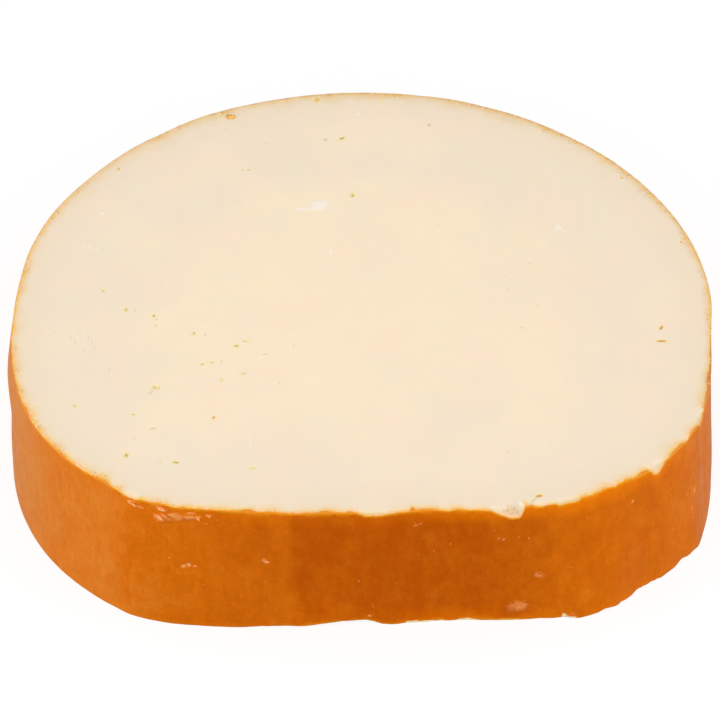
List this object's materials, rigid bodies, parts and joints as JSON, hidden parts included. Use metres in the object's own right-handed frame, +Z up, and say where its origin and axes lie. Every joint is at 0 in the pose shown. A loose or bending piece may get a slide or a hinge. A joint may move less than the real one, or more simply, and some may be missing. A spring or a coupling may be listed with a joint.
{
  "type": "smoked processed cheese slice",
  "caption": "Thick slice cut from a loaf of smoked processed cheese, with a pale paste and a browned smoked rind round its wall.",
  "frame": {"origin": "middle of the bounding box at the lower cut face, which the slice rests on", "axes": "+X along the slice's width, its flatter front towards -Y, +Z up through its thickness"},
  "size_m": [0.1194, 0.0984, 0.0285],
  "materials": {
    "cheese_paste": "soft, faintly waxy pale cream paste on both cut faces",
    "smoked_rind": "satin orange-brown smoked rind round the wall, amber at its cut edges"
  },
  "bodies": {
    "root": {"smoked_cheese_slice": "cheese_paste"}
  },
  "joints": []
}
